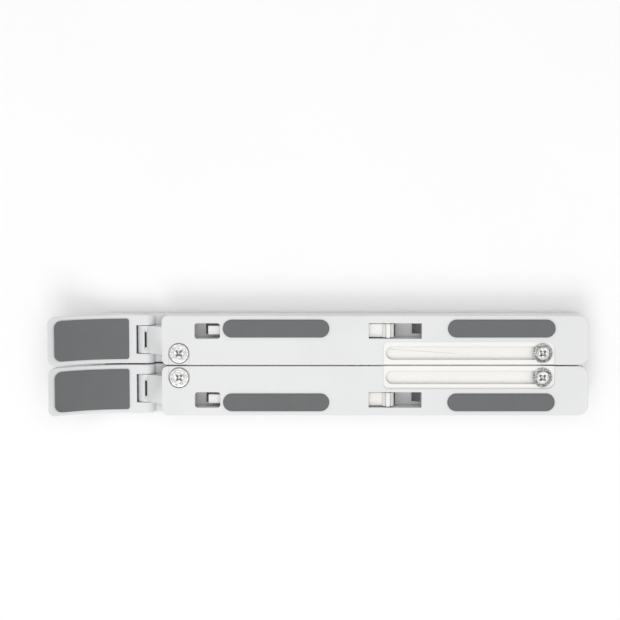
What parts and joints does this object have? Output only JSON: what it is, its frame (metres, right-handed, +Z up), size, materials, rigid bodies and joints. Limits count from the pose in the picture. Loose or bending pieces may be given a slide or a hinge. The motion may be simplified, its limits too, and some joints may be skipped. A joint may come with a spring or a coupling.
{
  "type": "laptop stand",
  "caption": "Folding laptop stand with hinged arms on base rails, hooked front lips, a crossed scissor linkage between the halves and swing-down props.",
  "frame": {"origin": "middle of the folded stand's outline, on the table", "axes": "+X from the hooks to the rear ends of the arms, +Y to the left half, +Z up"},
  "size_m": [0.242, 0.0452, 0.0267],
  "materials": {
    "white_plastic": "fine satin moulding",
    "warm_plastic": "satin, slightly warmer white",
    "grey_silicone": "matte grey silicone",
    "bright_steel": "bright zinc plating"
  },
  "bodies": {
    "base_left": {"base_left": "white_plastic", "hook_pad_left": "grey_silicone", "foot_pad_front_left": "grey_silicone", "foot_pad_rear_left": "grey_silicone", "hinge_pin_left": "bright_steel"},
    "arm_left": {"arm_left": "white_plastic", "arm_pad_front_left": "grey_silicone", "arm_pad_rear_left": "grey_silicone", "strut_pin_left": "bright_steel"},
    "strut_left": {"strut_left": "white_plastic"},
    "bar_upper": {"bar_upper": "warm_plastic", "pivot_screw_left": "bright_steel", "slide_bush_right": "warm_plastic", "slide_washer_right": "bright_steel", "slide_screw_right": "bright_steel", "nuts_upper": "bright_steel"},
    "bar_lower": {"bar_lower": "warm_plastic", "pivot_screw_right": "bright_steel", "slide_bush_left": "warm_plastic", "slide_washer_left": "bright_steel", "slide_screw_left": "bright_steel", "nuts_lower": "bright_steel", "centre_screw": "bright_steel"},
    "arm_right": {"arm_right": "white_plastic", "arm_pad_front_right": "grey_silicone", "arm_pad_rear_right": "grey_silicone", "strut_pin_right": "bright_steel"},
    "strut_right": {"strut_right": "white_plastic"},
    "base_right": {"base_right": "white_plastic", "hook_pad_right": "grey_silicone", "foot_pad_front_right": "grey_silicone", "foot_pad_rear_right": "grey_silicone", "hinge_pin_right": "bright_steel"}
  },
  "joints": [
    {"name": "arm_tilt", "type": "hinge", "parent": "base_left", "child": "arm_left", "pos_m": [-0.0786, 0.0114, 0.0084], "axis": [0, -1, 0], "range_deg": [0, 33.68]},
    {"name": "spread", "type": "hinge", "parent": "arm_left", "child": "bar_upper", "pos_m": [-0.0632, 0.0055, 0.0137], "axis": [0, 0, -1], "range_deg": [0, 50.2]},
    {"name": "bar_crossing", "type": "hinge", "parent": "bar_upper", "child": "bar_lower", "pos_m": [0.01855, 0, 0.0117], "axis": [0, 0, -1], "range_deg": [-100.4, 0]},
    {"name": "right_arm_pivot", "type": "hinge", "parent": "bar_lower", "child": "arm_right", "pos_m": [-0.0632, -0.0055, 0.0137], "axis": [0, 0, -1], "range_deg": [0, 50.2]},
    {"name": "right_base_tilt", "type": "hinge", "parent": "arm_right", "child": "base_right", "pos_m": [-0.0786, -0.0114, 0.0084], "axis": [0, -1, 0], "range_deg": [-33.68, 0]},
    {"name": "strut_left_swing", "type": "hinge", "parent": "arm_left", "child": "strut_left", "pos_m": [0.0308, 0.0156, 0.015], "axis": [0, -1, 0], "range_deg": [0, 83.38]},
    {"name": "strut_right_swing", "type": "hinge", "parent": "arm_right", "child": "strut_right", "pos_m": [0.0308, -0.0156, 0.015], "axis": [0, -1, 0], "range_deg": [0, 83.38]}
  ],
  "couplings": [
    {"joint": "bar_crossing", "follows": "spread", "ratio": -2},
    {"joint": "right_arm_pivot", "follows": "spread", "ratio": 1},
    {"joint": "right_base_tilt", "follows": "arm_tilt", "ratio": -1}
  ]
}
